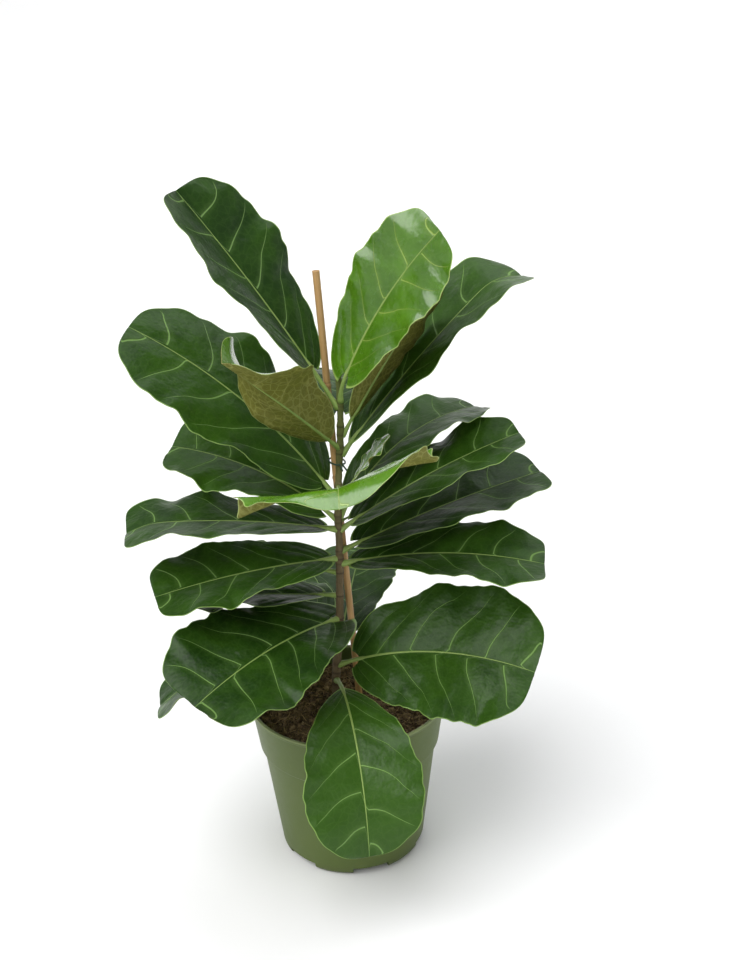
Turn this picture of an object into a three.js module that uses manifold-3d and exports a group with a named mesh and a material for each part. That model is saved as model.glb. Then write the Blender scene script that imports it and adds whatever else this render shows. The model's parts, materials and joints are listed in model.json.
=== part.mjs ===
// Potted fiddle leaf fig: a young plant on a bamboo stake in a round nursery pot.
// Units are millimetres, +Z is up, and the origin is the centre of the pot's underside.
// Azimuths are degrees anticlockwise from +X, seen from above; the plant's front is -Y.

import * as THREE from 'three';
import { mergeVertices } from 'three/addons/utils/BufferGeometryUtils.js';
import ManifoldModule from 'manifold-3d';

const wasm = await ManifoldModule();
wasm.setup();

// ---------------------------------------------------------------- driving dimensions

const GAP = 0.3;                  // clearance kept between pieces that touch

const POT_HEIGHT = 176;
const POT_RIM_RADIUS = 105;
const POT_COLLAR_TOP_RADIUS = 103;
const POT_COLLAR_FOOT_RADIUS = 96.5;
const POT_COLLAR_FOOT_HEIGHT = 126;
const POT_BODY_TOP_RADIUS = 93;
const POT_BASE_RADIUS = 78.5;
const POT_BASE_FILLET = 8;
const POT_WALL = 1.8;
const POT_SEGMENTS = 48;

const NOTCH_COUNT = 6;            // drainage notches around the foot of the pot
const NOTCH_FIRST_AZIMUTH = -75;
const NOTCH_WIDTH = 39;
const NOTCH_HEIGHT = 9;
const NOTCH_INNER_RADIUS = 56;
const NOTCH_CUT_DEPTH = 40;       // how far the notch's cutter runs outwards
const DRAIN_HOLE_RADIUS = 4;
const DRAIN_HOLE_DEPTH = 12;
const DRAIN_HOLE_SETBACK = 5;     // from the notch's inner wall
const DRAIN_HOLE_INSET = 6;       // from the notch's side

const SOIL_EDGE_HEIGHT = 158;
const SOIL_CENTRE_HEIGHT = 163;

const ROD_SIDES = 10;             // sides of the stem's and the stake's sections

const STEM_STEPS = 22;
const STEM_BASE_RADIUS = 4.6;
const STEM_TOP_RADIUS = 3.0;
const STEM_ROUTE = [
  [-12, -1, 112], [-12.5, -1, 165], [-11, -1.5, 205], [-6, -2, 255], [-4, -2, 300],
  [-2.5, -2, 345], [-2.5, -2, 385], [0, -2, 425], [3, -2, 465], [4, -1, 500], [3, 1, 526],
];
const BUD_LENGTH = 26;
const BUD_LEAN = -1;              // sideways lean of the bud's rings over its length
const BUD_TIP_LEAN = -1.5;
const BUD_RINGS = [[0.25, 1.25], [0.6, 0.75]];  // share of the bud's length, width in stem tops

const STAKE_RADIUS = 3.8;
const STAKE_FOOT = [17, 13, 62];
const STAKE_TOP = [-14.5, 9, 624];
const STAKE_JOINT_SPACING = 96;   // distance between the bamboo's joints
const STAKE_FIRST_JOINT = 67.2;
const STAKE_JOINT_HALF_WIDTH = 3;
const STAKE_JOINT_HEIGHT = 0.5;
const STAKE_PLAIN_TOP = 20;       // no joint comes this close to the stake's top

const TIE_HEIGHT = 436;
const TIE_WIRE_RADIUS = 0.9;
const TIE_END_ROOM = 1.2;         // room inside the loop, beyond the stem and the stake
const TIE_SIDE_ROOM = 2.6;        // room inside the loop, beside them
const TIE_MOUTH = 12;             // half the loop's open angle, where its ends leave
const TIE_TAIL_LENGTH = 9;
const TIE_TAIL_SPREAD = 2.2;
const TIE_TAIL_DROP = 3;
const TIE_POINTS = 16;
const TIE_STEPS = 32;
const TIE_SIDES = 6;

const BLADE_THICKNESS = 1.6;
const PETIOLE_RADIUS = 2.6;
const PETIOLE_FLARE = 1.35;       // the petiole's foot is this much thicker

const EDGE_WAVE_HEIGHT = 2.5;
const EDGE_WAVES = 2.5;           // waves along each edge of a blade
const LOBE_SHARE = 0.1;           // the lobes at a blade's base take up this much of its length
const WAIST_PLACE = 0.3;          // the blade is drawn in around this share of its length
const WAIST_SPREAD = 0.17;
const HOOK_START = 0.8;           // share of the midrib where a hooked tip starts to turn down
const TIP_POINT = 5;              // length of the point at a blade's tip

// Each leaf leaves the stem at a height and azimuth. Its midrib starts at the angle "rise"
// above the horizontal and turns down by "droop" over its length and by "hook" more at its tip.
// "turn" is how far the petiole's foot is turned from the blade's azimuth. "roll" tips the blade
// about its midrib, left edge up, and "twist" adds to it in the outer part. "foldLeft" and
// "foldRight" raise each half of the blade from the midrib.
// The blade is widest at the share "widest" of its length, "taper" is how fast it widens, "waist"
// is how much it is drawn in, and "lobe" is how far its base reaches back beside the petiole.
const LEAF_DEFAULTS = {
  petiole: 22, length: 184, width: 105, rise: 20, droop: 20, hook: 0, turn: 0, roll: 0, twist: 0,
  foldLeft: 8, foldRight: 8, widest: 0.68, taper: 0.42, waist: 0.14, lobe: 12,
};

const LEAVES = {
  leaf_01: { height: 194, azimuth: -79, petiole: 42, length: 178, width: 116, rise: 25, droop: 112,
    taper: 0.8, widest: 0.66, waist: 0, lobe: 8 },
  leaf_02: { height: 212, azimuth: -18, petiole: 22, length: 184, width: 150, rise: 26, droop: 40,
    roll: 40, widest: 0.62, waist: 0.06, lobe: 8 },
  leaf_03: { height: 228, azimuth: 82, petiole: 28, length: 144, width: 100, rise: 18, droop: 10 },
  leaf_04: { height: 245, azimuth: 186, length: 176, width: 96, rise: 2, droop: 42 },
  leaf_05: { height: 258, azimuth: 130, petiole: 28, length: 156, rise: 10, droop: 30 },
  leaf_06: { height: 266, azimuth: 225, petiole: 12, length: 170, width: 146, rise: 8, droop: 28,
    roll: -14, waist: 0.06, lobe: 30 },
  leaf_07: { height: 292, azimuth: 176, length: 152, width: 90, rise: 2, droop: 6 },
  leaf_08: { height: 318, azimuth: 168, length: 158, width: 96, rise: 8, droop: 24 },
  leaf_09: { height: 328, azimuth: -6, petiole: 16, length: 184, width: 96, rise: 14, droop: 26,
    roll: 14, widest: 0.74 },
  leaf_10: { height: 334, azimuth: 198, petiole: 14, length: 166, width: 98, rise: 4, droop: 14,
    roll: -16 },
  leaf_11: { height: 342, azimuth: 18, length: 200, width: 106, rise: 19, droop: 10, roll: 8 },
  leaf_12: { height: 366, azimuth: 186, petiole: 18, length: 186, width: 98, rise: 13, droop: 15,
    roll: -5, hook: 20, widest: 0.74 },
  leaf_13: { height: 366, azimuth: 8, petiole: 20, length: 178, width: 94, rise: 34, droop: 16,
    roll: 10 },
  leaf_14: { height: 380, azimuth: 34, petiole: 24, length: 170, width: 94, rise: 54, droop: 56 },
  leaf_15: { height: 373, azimuth: 66, turn: -20, petiole: 36, length: 80, width: 58,
    rise: 6, droop: 8, lobe: 0 },
  leaf_16: { height: 378, azimuth: 168, petiole: 18, length: 160, width: 104, rise: 40, droop: 34,
    roll: -20 },
  leaf_17: { height: 400, azimuth: 8, petiole: 22, length: 52, width: 30, rise: 56, droop: 10,
    taper: 0.7, waist: 0, lobe: 0 },
  leaf_18: { height: 412, azimuth: -88, petiole: 22, length: 130, width: 190, rise: 17, droop: -8,
    hook: 70, taper: 0.6, widest: 0.5, waist: 0, lobe: 6, foldLeft: 20, foldRight: -8 },
  leaf_19: { height: 402, azimuth: 174, petiole: 18, length: 238, width: 140, rise: 56, droop: 28,
    roll: -20, foldLeft: -6, widest: 0.6, taper: 0.5, lobe: 4 },
  leaf_20: { height: 446, azimuth: 22, petiole: 22, length: 232, width: 104, rise: 49, droop: 12,
    hook: 40, foldLeft: 16, foldRight: 6, widest: 0.72, taper: 0.6 },
  leaf_21: { height: 454, azimuth: 218, petiole: 12, length: 144, width: 98, rise: 43, droop: 4,
    roll: 66, twist: -76, foldLeft: 16, foldRight: 34, lobe: 0, taper: 0.5 },
  leaf_22: { height: 466, azimuth: 14, petiole: 20, length: 146, width: 78, rise: 60, droop: 10,
    roll: -50, lobe: 4, taper: 0.6 },
  leaf_23: { height: 474, azimuth: 92, petiole: 26, length: 110, width: 84, rise: 24, droop: 30 },
  leaf_24: { height: 494, azimuth: 170, petiole: 46, length: 200, width: 122, rise: 59, droop: 8,
    roll: -36, foldLeft: 34, foldRight: 0, lobe: 8, taper: 0.5 },
  leaf_25: { height: 502, azimuth: -16, turn: -62, petiole: 30, length: 158, width: 98, rise: 70,
    droop: 24, roll: 66, lobe: 14, foldLeft: 4, foldRight: 12, waist: 0.08 },
};

// ---------------------------------------------------------------- materials

function material(colour, roughness) {
  return new THREE.MeshStandardMaterial({ color: colour, roughness, metalness: 0 });
}

// ---------------------------------------------------------------- solids

const radians = (degrees) => degrees * Math.PI / 180;

function smoothstep(low, high, value) {
  const t = Math.min(Math.max((value - low) / (high - low), 0), 1);
  return t * t * (3 - 2 * t);
}

// A closed body through rings of points. Every ring has the same number of points, and the
// last one may be a single point, where the body ends in a tip. The second half of each ring
// is split along mirrored diagonals, so the two faces of a thin sheet never cross.
function loft(rings) {
  const count = rings[0].length;
  const points = rings.flat();
  const index = [];
  for (let i = 1; i < count - 1; i++) {
    index.push(0, i + 1, i);
  }
  for (let r = 0; r < rings.length - 1; r++) {
    const low = r * count;
    const high = low + count;
    for (let i = 0; i < count; i++) {
      const j = (i + 1) % count;
      if (rings[r + 1].length === 1) {
        index.push(low + i, low + j, high);
      } else if (i < count / 2) {
        index.push(low + i, low + j, high + j, low + i, high + j, high + i);
      } else {
        index.push(low + i, low + j, high + i, low + j, high + j, high + i);
      }
    }
  }
  if (rings[rings.length - 1].length > 1) {
    const last = (rings.length - 1) * count;
    for (let i = 1; i < count - 1; i++) {
      index.push(last, last + i, last + i + 1);
    }
  }
  const geometry = new THREE.BufferGeometry();
  const coordinates = points.flatMap((p) => p.toArray());
  geometry.setAttribute('position', new THREE.Float32BufferAttribute(coordinates, 3));
  geometry.setIndex(index);
  geometry.computeVertexNormals();
  return geometry;
}

// A round section of radius radiusAt(t) carried along a smooth curve, t from 0 to 1.
function taperedTube(curve, radiusAt, stops, sides) {
  const rings = stops.map((t) => {
    const centre = curve.getPointAt(t);
    const ahead = curve.getTangentAt(t);
    const across = new THREE.Vector3(0, 1, 0).cross(ahead).normalize();
    const up = ahead.clone().cross(across);
    const ring = [];
    for (let i = 0; i < sides; i++) {
      const angle = 2 * Math.PI * i / sides;
      const offset = across.clone().multiplyScalar(Math.cos(angle)).addScaledVector(up, Math.sin(angle));
      ring.push(centre.clone().addScaledVector(offset, radiusAt(t)));
    }
    return ring;
  });
  return loft(rings);
}

// A profile of [radius, height] pairs turned about Z.
function turned(profile) {
  const points = profile.map(([radius, height]) => new THREE.Vector2(radius, height));
  return new THREE.LatheGeometry(points, POT_SEGMENTS).rotateX(Math.PI / 2);
}

function toManifold(geometry) {
  const bare = geometry.clone();
  bare.deleteAttribute('normal');
  bare.deleteAttribute('uv');
  const merged = mergeVertices(bare, 1e-4);
  const triangles = [];
  const source = merged.index.array;
  for (let i = 0; i < source.length; i += 3) {
    const [a, b, c] = [source[i], source[i + 1], source[i + 2]];
    if (a !== b && b !== c && c !== a) {
      triangles.push(a, b, c);
    }
  }
  return new wasm.Manifold(new wasm.Mesh({
    numProp: 3,
    vertProperties: new Float32Array(merged.attributes.position.array),
    triVerts: new Uint32Array(triangles),
  }));
}

function toGeometry(solid) {
  const mesh = solid.getMesh();
  const geometry = new THREE.BufferGeometry();
  geometry.setAttribute('position', new THREE.BufferAttribute(mesh.vertProperties, 3));
  geometry.setIndex(new THREE.BufferAttribute(mesh.triVerts, 1));
  geometry.computeVertexNormals();
  return geometry;
}

// ---------------------------------------------------------------- pot and soil

function potOutline(inset) {
  const base = POT_BASE_RADIUS - inset;
  const fillet = POT_BASE_FILLET - Math.min(inset, POT_BASE_FILLET - 1);
  const floor = inset;
  const outline = [[0, floor]];
  for (let i = 0; i <= 4; i++) {
    const angle = radians(90 * i / 4);
    outline.push([base - fillet + fillet * Math.sin(angle), floor + fillet * (1 - Math.cos(angle))]);
  }
  outline.push([POT_BODY_TOP_RADIUS - inset, POT_COLLAR_FOOT_HEIGHT - 3 + inset]);
  outline.push([POT_COLLAR_FOOT_RADIUS - inset, POT_COLLAR_FOOT_HEIGHT + inset]);
  return outline;
}

function notchBoxes(spread, height) {
  const boxes = [];
  for (let i = 0; i < NOTCH_COUNT; i++) {
    const depth = NOTCH_CUT_DEPTH + spread;
    const box = new THREE.BoxGeometry(depth, NOTCH_WIDTH + 2 * spread, 2 * height);
    box.translate(NOTCH_INNER_RADIUS - spread + depth / 2, 0, 0);
    box.rotateZ(radians(NOTCH_FIRST_AZIMUTH + 360 * i / NOTCH_COUNT));
    boxes.push(toManifold(box));
  }
  return boxes;
}

function drainHoles() {
  const holes = [];
  for (let i = 0; i < NOTCH_COUNT; i++) {
    const hole = new THREE.CylinderGeometry(DRAIN_HOLE_RADIUS, DRAIN_HOLE_RADIUS, DRAIN_HOLE_DEPTH, 12);
    hole.rotateX(Math.PI / 2);
    const aside = DRAIN_HOLE_INSET - NOTCH_WIDTH / 2;
    hole.translate(NOTCH_INNER_RADIUS + DRAIN_HOLE_SETBACK, aside, NOTCH_HEIGHT);
    hole.rotateZ(radians(NOTCH_FIRST_AZIMUTH + 360 * i / NOTCH_COUNT));
    holes.push(toManifold(hole));
  }
  return holes;
}

function potSolid() {
  const rim = [
    [POT_COLLAR_TOP_RADIUS, POT_HEIGHT - 5], [POT_RIM_RADIUS, POT_HEIGHT - 3.5],
    [POT_RIM_RADIUS, POT_HEIGHT - 1], [POT_RIM_RADIUS - 1, POT_HEIGHT],
    [POT_COLLAR_TOP_RADIUS - 0.6, POT_HEIGHT],
  ];
  const outer = potOutline(0);
  const inner = potOutline(POT_WALL);
  inner.push([POT_COLLAR_TOP_RADIUS - POT_WALL, POT_HEIGHT - 2]);
  const shell = toManifold(turned([...outer, ...rim, ...inner.reverse()]));
  const envelope = toManifold(turned([...outer, [0, POT_COLLAR_FOOT_HEIGHT]]));
  let pot = shell;
  for (const hood of notchBoxes(POT_WALL, NOTCH_HEIGHT + POT_WALL)) {
    pot = pot.add(hood.intersect(envelope));
  }
  for (const notch of [...notchBoxes(0, NOTCH_HEIGHT), ...drainHoles()]) {
    pot = pot.subtract(notch);
  }
  return pot;
}

function soilSolid(stem, stake) {
  const share = (SOIL_EDGE_HEIGHT - POT_COLLAR_FOOT_HEIGHT) / (POT_HEIGHT - POT_COLLAR_FOOT_HEIGHT);
  const edge = THREE.MathUtils.lerp(POT_COLLAR_FOOT_RADIUS, POT_COLLAR_TOP_RADIUS, share);
  const outline = potOutline(POT_WALL + GAP);
  outline.push([edge - POT_WALL - GAP, SOIL_EDGE_HEIGHT]);
  outline.push([edge * 0.7, SOIL_EDGE_HEIGHT + 1.5], [edge * 0.35, SOIL_CENTRE_HEIGHT - 1.5]);
  outline.push([0, SOIL_CENTRE_HEIGHT]);
  let soil = toManifold(turned(outline));
  const cutters = [...notchBoxes(POT_WALL + GAP, NOTCH_HEIGHT + POT_WALL + GAP), stem, stake];
  for (const cutter of cutters) {
    soil = soil.subtract(cutter);
  }
  return soil;
}

// ---------------------------------------------------------------- stem, stake and tie

const stemCurve = new THREE.CatmullRomCurve3(STEM_ROUTE.map((p) => new THREE.Vector3(...p)));
const STEM_FOOT = STEM_ROUTE[0][2];
const STEM_TOP = STEM_ROUTE[STEM_ROUTE.length - 1][2];

function stemRadius(height) {
  const t = (height - STEM_FOOT) / (STEM_TOP - STEM_FOOT);
  return THREE.MathUtils.lerp(STEM_BASE_RADIUS, STEM_TOP_RADIUS, t);
}

// The stem's centre at a height, found by halving the stretch of curve that holds it.
function stemCentre(height) {
  let low = 0;
  let high = 1;
  for (let i = 0; i < 30; i++) {
    const middle = (low + high) / 2;
    if (stemCurve.getPointAt(middle).z < height) {
      low = middle;
    } else {
      high = middle;
    }
  }
  return stemCurve.getPointAt(low);
}

function stemGeometry(clearance) {
  const stops = Array.from({ length: STEM_STEPS + 1 }, (_, i) => i / STEM_STEPS);
  const radiusAt = (t) => THREE.MathUtils.lerp(STEM_BASE_RADIUS, STEM_TOP_RADIUS, t) + clearance;
  const rings = [];
  for (const t of stops) {
    const centre = stemCurve.getPointAt(t);
    const ring = [];
    for (let i = 0; i < ROD_SIDES; i++) {
      const angle = 2 * Math.PI * i / ROD_SIDES;
      const outward = new THREE.Vector3(Math.cos(angle), Math.sin(angle), 0);
      ring.push(centre.clone().addScaledVector(outward, radiusAt(t)));
    }
    rings.push(ring);
  }
  const top = stemCurve.getPointAt(1);
  for (const [lift, share] of BUD_RINGS) {
    const shift = new THREE.Vector3(BUD_LEAN * lift, 0, BUD_LENGTH * lift);
    rings.push(rings[STEM_STEPS].map((p) => p.clone().sub(top).multiplyScalar(share).add(top).add(shift)));
  }
  rings.push([top.clone().add(new THREE.Vector3(BUD_TIP_LEAN, 0, BUD_LENGTH))]);
  return loft(rings);
}

function stakeGeometry(clearance) {
  const foot = new THREE.Vector3(...STAKE_FOOT);
  const top = new THREE.Vector3(...STAKE_TOP);
  const line = new THREE.LineCurve3(foot, top);
  const length = foot.distanceTo(top);
  const stops = [0];
  const joints = [];
  for (let at = STAKE_FIRST_JOINT; at < length - STAKE_PLAIN_TOP; at += STAKE_JOINT_SPACING) {
    joints.push(at / length);
    stops.push((at - STAKE_JOINT_HALF_WIDTH) / length, at / length, (at + STAKE_JOINT_HALF_WIDTH) / length);
  }
  stops.push(1);
  const radiusAt = (t) => STAKE_RADIUS + clearance + (joints.includes(t) ? STAKE_JOINT_HEIGHT : 0);
  return taperedTube(line, radiusAt, stops, ROD_SIDES);
}

function stakeCentre(height) {
  const foot = new THREE.Vector3(...STAKE_FOOT);
  const top = new THREE.Vector3(...STAKE_TOP);
  return foot.lerp(top, (height - STAKE_FOOT[2]) / (STAKE_TOP[2] - STAKE_FOOT[2]));
}

// A wire loop around the stem and the stake, its two ends left side by side at the front.
function tieGeometry() {
  const stem = stemCentre(TIE_HEIGHT);
  const stake = stakeCentre(TIE_HEIGHT);
  const centre = stem.clone().lerp(stake, 0.5);
  const along = stake.clone().sub(stem).setZ(0);
  const reach = along.length() / 2 + STAKE_RADIUS + TIE_WIRE_RADIUS + TIE_END_ROOM;
  const breadth = STAKE_RADIUS + TIE_WIRE_RADIUS + TIE_SIDE_ROOM;
  along.normalize();
  const across = new THREE.Vector3(-along.y, along.x, 0);
  const points = [];
  for (let i = 0; i <= TIE_POINTS; i++) {
    const angle = Math.PI + radians(TIE_MOUTH + (360 - 2 * TIE_MOUTH) * i / TIE_POINTS);
    points.push(centre.clone().addScaledVector(along, reach * Math.cos(angle))
      .addScaledVector(across, breadth * Math.sin(angle)));
  }
  const tail = (sign) => centre.clone().addScaledVector(along, -reach - TIE_TAIL_LENGTH)
    .addScaledVector(across, TIE_TAIL_SPREAD * sign).add(new THREE.Vector3(0, 0, -TIE_TAIL_DROP));
  const curve = new THREE.CatmullRomCurve3([tail(-1), ...points, tail(1)]);
  const stops = Array.from({ length: TIE_STEPS + 1 }, (_, i) => i / TIE_STEPS);
  const rings = stops.map((t) => {
    const point = curve.getPointAt(t);
    const ahead = curve.getTangentAt(t);
    const side = ahead.clone().cross(new THREE.Vector3(0, 0, 1)).normalize();
    const up = side.clone().cross(ahead);
    return Array.from({ length: TIE_SIDES }, (_, i) => {
      const turn = -2 * Math.PI * i / TIE_SIDES;
      return point.clone().addScaledVector(side, TIE_WIRE_RADIUS * Math.cos(turn))
        .addScaledVector(up, TIE_WIRE_RADIUS * Math.sin(turn));
    });
  });
  return loft(rings);
}

// ---------------------------------------------------------------- leaves

const PETIOLE_STOPS = [0, 0.5];
const BLADE_STOPS = [0, 0.02, 0.07, 0.16, 0.3, 0.46, 0.62, 0.76, 0.87, 0.94, 0.98];
const BLADE_HALVES = [1, 0.5, 0, -0.5, -1];
const MIDRIB_STEPS = 60;
const TWIST_START = 0.4;          // share of the midrib where a twist begins
const MIDRIB_DEPTH = 1.6;         // the midrib's depth at the blade's base, in petiole radii
const BLADE_FOOT_DEPTH = 0.8;     // the petiole flattens to this share where the blade starts

// Half the blade's width as a share of its widest, s along the midrib from base to tip.
function bladeProfile(leaf, s) {
  const p = leaf.taper;
  const q = p * (1 - leaf.widest) / leaf.widest;
  const peak = leaf.widest ** p * (1 - leaf.widest) ** q;
  const waist = 1 - leaf.waist * Math.exp(-(((s - WAIST_PLACE) / WAIST_SPREAD) ** 2));
  return waist * s ** p * (1 - s) ** q / peak;
}

function midribFrames(leaf) {
  const total = leaf.petiole + leaf.length;
  const steps = MIDRIB_STEPS;
  const foot = radians(leaf.azimuth + leaf.turn);
  const outward = new THREE.Vector3(Math.cos(foot), Math.sin(foot), 0);
  const start = stemCentre(leaf.height).addScaledVector(outward, stemRadius(leaf.height) + GAP);
  const angles = (t) => ({
    azimuth: radians(leaf.azimuth + leaf.turn * (1 - smoothstep(0, leaf.petiole / total, t))),
    elevation: radians(leaf.rise - leaf.droop * t - leaf.hook * smoothstep(HOOK_START, 1, t)),
  });
  const heading = ({ azimuth, elevation }) => new THREE.Vector3(
    Math.cos(elevation) * Math.cos(azimuth), Math.cos(elevation) * Math.sin(azimuth), Math.sin(elevation));
  const track = [start];
  for (let i = 0; i < steps; i++) {
    track.push(track[i].clone().addScaledVector(heading(angles((i + 0.5) / steps)), total / steps));
  }
  return (distance) => {
    const t = Math.min(Math.max(distance / total, 0), 1);
    const i = Math.min(Math.floor(t * steps), steps - 1);
    const { azimuth, elevation } = angles(t);
    const ahead = heading({ azimuth, elevation });
    const point = track[i].clone().lerp(track[i + 1], t * steps - i);
    point.addScaledVector(ahead, distance - t * total);
    const up = heading({ azimuth, elevation: elevation + Math.PI / 2 });
    const left = up.clone().cross(ahead);
    const tipped = leaf.roll + leaf.twist * smoothstep(TWIST_START, 1, t);
    const roll = radians(tipped) * smoothstep(0, leaf.petiole / total, t);
    return {
      point,
      ahead,
      normal: up.clone().multiplyScalar(Math.cos(roll)).addScaledVector(left, -Math.sin(roll)),
      left: left.clone().multiplyScalar(Math.cos(roll)).addScaledVector(up, Math.sin(roll)),
    };
  };
}

// A point of the blade's upper face: s along the midrib, v across it, -1 right to 1 left.
function bladePoint(leaf, frameAt, s, v) {
  const half = leaf.width / 2;
  const reach = Math.abs(v) * half * bladeProfile(leaf, s);
  const share = reach / half;
  const back = leaf.lobe * v * v * Math.exp(-s / LOBE_SHARE);
  const frame = frameAt(leaf.petiole + leaf.length * s);
  const fold = radians(v > 0 ? leaf.foldLeft : leaf.foldRight);
  const side = Math.sign(v);
  const out = Math.cos(fold) * reach;
  const wave = EDGE_WAVE_HEIGHT * share * share * Math.sin(2 * Math.PI * EDGE_WAVES * s + side);
  const rise = Math.sin(fold) * reach + wave;
  return {
    top: frame.point.clone().addScaledVector(frame.ahead, -back)
      .addScaledVector(frame.left, side * out).addScaledVector(frame.normal, rise),
    normal: frame.normal.clone().multiplyScalar(Math.cos(fold))
      .addScaledVector(frame.left, -side * Math.sin(fold)),
  };
}

// Eight points around the petiole, from its left side over the top to its right and back.
function petioleRing(frame, radius, depth) {
  return Array.from({ length: 8 }, (_, i) => {
    const angle = i * Math.PI / 4;
    return frame.point.clone()
      .addScaledVector(frame.left, radius * Math.cos(angle))
      .addScaledVector(frame.normal, depth * Math.sin(angle));
  });
}

function leafGeometry(leaf) {
  const frameAt = midribFrames(leaf);
  const rings = [];
  for (const stop of PETIOLE_STOPS) {
    const frame = frameAt(leaf.petiole * stop);
    const radius = PETIOLE_RADIUS * THREE.MathUtils.lerp(PETIOLE_FLARE, 1, stop * 2);
    if (stop === 0) {
      const outward = frame.ahead.clone().setZ(0).normalize();
      frame.left = new THREE.Vector3(0, 0, 1).cross(outward);
      frame.normal = new THREE.Vector3(0, 0, 1);
    }
    rings.push(petioleRing(frame, radius, radius));
  }
  for (const s of BLADE_STOPS) {
    if (s === 0) {
      rings.push(petioleRing(frameAt(leaf.petiole), PETIOLE_RADIUS, PETIOLE_RADIUS * BLADE_FOOT_DEPTH));
      continue;
    }
    const across = BLADE_HALVES.map((v) => bladePoint(leaf, frameAt, s, v));
    const ring = across.map(({ top }) => top);
    const midribDepth = THREE.MathUtils.lerp(PETIOLE_RADIUS * MIDRIB_DEPTH, BLADE_THICKNESS, s);
    for (const i of [3, 2, 1]) {
      const depth = i === 2 ? midribDepth : BLADE_THICKNESS;
      ring.push(across[i].top.clone().addScaledVector(across[i].normal, -depth));
    }
    rings.push(ring);
  }
  const tip = frameAt(leaf.petiole + leaf.length + TIP_POINT);
  rings.push([tip.point.clone().addScaledVector(tip.normal, -BLADE_THICKNESS / 2)]);
  return loft(rings);
}

// ---------------------------------------------------------------- assembly

const plant = new THREE.Group();

function addPiece(name, geometry, surface) {
  const mesh = new THREE.Mesh(geometry, surface);
  mesh.name = name;
  plant.add(mesh);
}

addPiece('pot', toGeometry(potSolid()), material(0x77874f, 0.55));
const stemCutter = toManifold(stemGeometry(GAP));
const stakeCutter = toManifold(stakeGeometry(GAP));
addPiece('soil', toGeometry(soilSolid(stemCutter, stakeCutter)), material(0x2e2015, 0.95));
addPiece('stem', stemGeometry(0), material(0x6b5a3a, 0.8));
addPiece('stake', stakeGeometry(0), material(0xc49a62, 0.6));
addPiece('tie', tieGeometry(), material(0x2f4a34, 0.5));
for (const [name, shape] of Object.entries(LEAVES)) {
  addPiece(name, leafGeometry({ ...LEAF_DEFAULTS, ...shape }), material(0x2c5424, 0.38));
}

export default plant;
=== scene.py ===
"""Looks for the potted fiddle leaf fig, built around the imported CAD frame.

Lengths in the tables are millimetres, and mesh_object() turns them into metres.
Azimuths are degrees anticlockwise from +X, seen from above; the front is -Y.
"""

import json
import math

import bpy
import numpy as np
from mathutils import Euler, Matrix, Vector


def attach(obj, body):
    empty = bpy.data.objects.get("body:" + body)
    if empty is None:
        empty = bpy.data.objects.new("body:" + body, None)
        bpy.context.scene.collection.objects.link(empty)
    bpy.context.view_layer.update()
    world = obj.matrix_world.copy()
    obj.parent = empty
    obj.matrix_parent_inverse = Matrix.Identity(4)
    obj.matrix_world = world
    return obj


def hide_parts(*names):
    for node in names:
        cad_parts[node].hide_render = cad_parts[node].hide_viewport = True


MM = 0.001
RANDOM_SEED = 11

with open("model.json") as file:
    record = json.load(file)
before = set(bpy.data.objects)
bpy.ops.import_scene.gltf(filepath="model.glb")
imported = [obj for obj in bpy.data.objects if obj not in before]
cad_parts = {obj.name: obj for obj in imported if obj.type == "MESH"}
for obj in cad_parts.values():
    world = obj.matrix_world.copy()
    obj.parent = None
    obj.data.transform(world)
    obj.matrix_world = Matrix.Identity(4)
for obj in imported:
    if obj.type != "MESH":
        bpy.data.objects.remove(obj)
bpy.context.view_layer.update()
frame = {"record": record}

# ---------------------------------------------------------------- the CAD's dimensions

POT_HEIGHT = 176.0
POT_RIM_RADIUS = 105.0
POT_COLLAR_TOP_RADIUS = 103.0
POT_COLLAR_FOOT_RADIUS = 96.5
POT_COLLAR_FOOT_HEIGHT = 126.0
POT_BODY_TOP_RADIUS = 93.0
POT_BASE_RADIUS = 78.5
POT_BASE_FILLET = 8.0
POT_WALL = 1.8
NOTCH_COUNT = 6
NOTCH_FIRST_AZIMUTH = -75.0
NOTCH_WIDTH = 39.0
NOTCH_HEIGHT = 9.0
NOTCH_INNER_RADIUS = 56.0
NOTCH_CUT_DEPTH = 40.0            # how far the notch's cutter runs outwards
HOOD_LIMIT = 30.0                 # the walls over the notches stay below this height
POT_ROUNDING = 1.0
POT_SEGMENTS = 192
HOOD_SEGMENTS = 96
DRAIN_HOLE_RADIUS = 4.0
DRAIN_HOLE_DEPTH = 12.0
DRAIN_HOLE_SETBACK = 5.0          # from the notch's inner wall
DRAIN_HOLE_INSET = 6.0            # from the notch's side

SOIL_EDGE_HEIGHT = 158.0
SOIL_CENTRE_HEIGHT = 163.0

STEM_BASE_RADIUS = 4.6
STEM_TOP_RADIUS = 3.0
STEM_ROUTE = [
    (-12, -1, 112), (-12.5, -1, 165), (-11, -1.5, 205), (-6, -2, 255), (-4, -2, 300),
    (-2.5, -2, 345), (-2.5, -2, 385), (0, -2, 425), (3, -2, 465), (4, -1, 500), (3, 1, 526),
]
BUD_LENGTH = 26.0

STAKE_RADIUS = 3.8
STAKE_FOOT = (17, 13, 62)
STAKE_TOP = (-14.5, 9, 624)
STAKE_JOINT_SPACING = 96.0

TIE_HEIGHT = 436.0
TIE_WIRE_RADIUS = 0.9

LEAF_GAP = 0.3
LEAF_DEFAULTS = dict(
    petiole=22, length=184, width=105, rise=20, droop=20, hook=0, turn=0, roll=0, twist=0,
    fold_left=8, fold_right=8, widest=0.68, taper=0.42, waist=0.14, lobe=12)

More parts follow.
